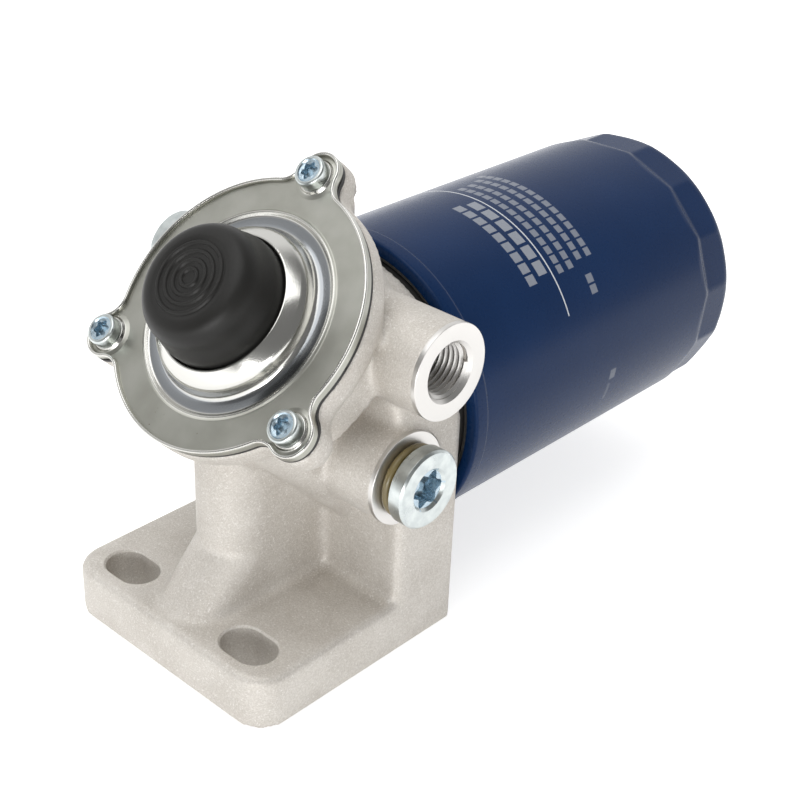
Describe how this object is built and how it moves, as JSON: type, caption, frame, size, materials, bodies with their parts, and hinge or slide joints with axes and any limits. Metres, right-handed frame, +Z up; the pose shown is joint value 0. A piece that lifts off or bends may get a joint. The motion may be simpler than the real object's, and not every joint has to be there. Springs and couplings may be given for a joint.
{
  "type": "diesel fuel filter",
  "caption": "Cast aluminium filter head on a slotted foot, with a tilted hand primer on top, side ports and a spin-on filter can on its back.",
  "frame": {"origin": "midway between the two mounting slots, on the foot's flat underside", "axes": "+X along the can's axis away from the head, +Z up away from the foot, +Y across to the far ports"},
  "size_m": [0.189, 0.0966, 0.1226],
  "materials": {
    "cast_aluminium": "sand-cast, fine satin",
    "zinc_sheet": "zinc-plated, bright",
    "bright_zinc": "bluish zinc, bright",
    "black_plastic": "matte",
    "black_rubber": "matte",
    "olive_seal": "satin",
    "plain_steel": "satin",
    "blue_paint": "gloss",
    "filter_paper": "matte",
    "valve_brass": "satin"
  },
  "bodies": {
    "housing": {"filter_head": "cast_aluminium", "can_spigot": "plain_steel", "primer_cover": "zinc_sheet", "primer_diaphragm": "black_rubber", "return_spring": "plain_steel", "cover_screws": "bright_zinc", "inlet_valve_seat": "valve_brass", "inlet_valve_umbrella": "black_rubber", "outlet_valve_seat": "valve_brass", "outlet_valve_umbrella": "black_rubber", "near_port_plug": "bright_zinc", "near_plug_seal": "olive_seal", "far_port_plug": "bright_zinc", "far_plug_seal": "olive_seal", "can_shell": "blue_paint", "can_lid": "plain_steel", "can_gasket": "black_rubber", "tapping_plate": "plain_steel", "element_media": "filter_paper", "element_open_cap": "plain_steel", "element_closed_cap": "plain_steel", "centre_tube": "plain_steel", "element_grommet": "black_rubber", "support_spring": "plain_steel"},
    "primer": {"primer_button": "black_plastic", "primer_rod": "plain_steel", "upper_clamp_plate": "plain_steel", "lower_clamp_plate": "plain_steel"}
  },
  "joints": [
    {"name": "primer_press", "type": "slide", "parent": "housing", "child": "primer", "axis": [0.7193, 0, -0.6947], "range_m": [0, 0.007], "stiffness_N_per_m": 1500, "springref_m": -0.008, "deforming": ["return_spring", "primer_diaphragm"]}
  ]
}
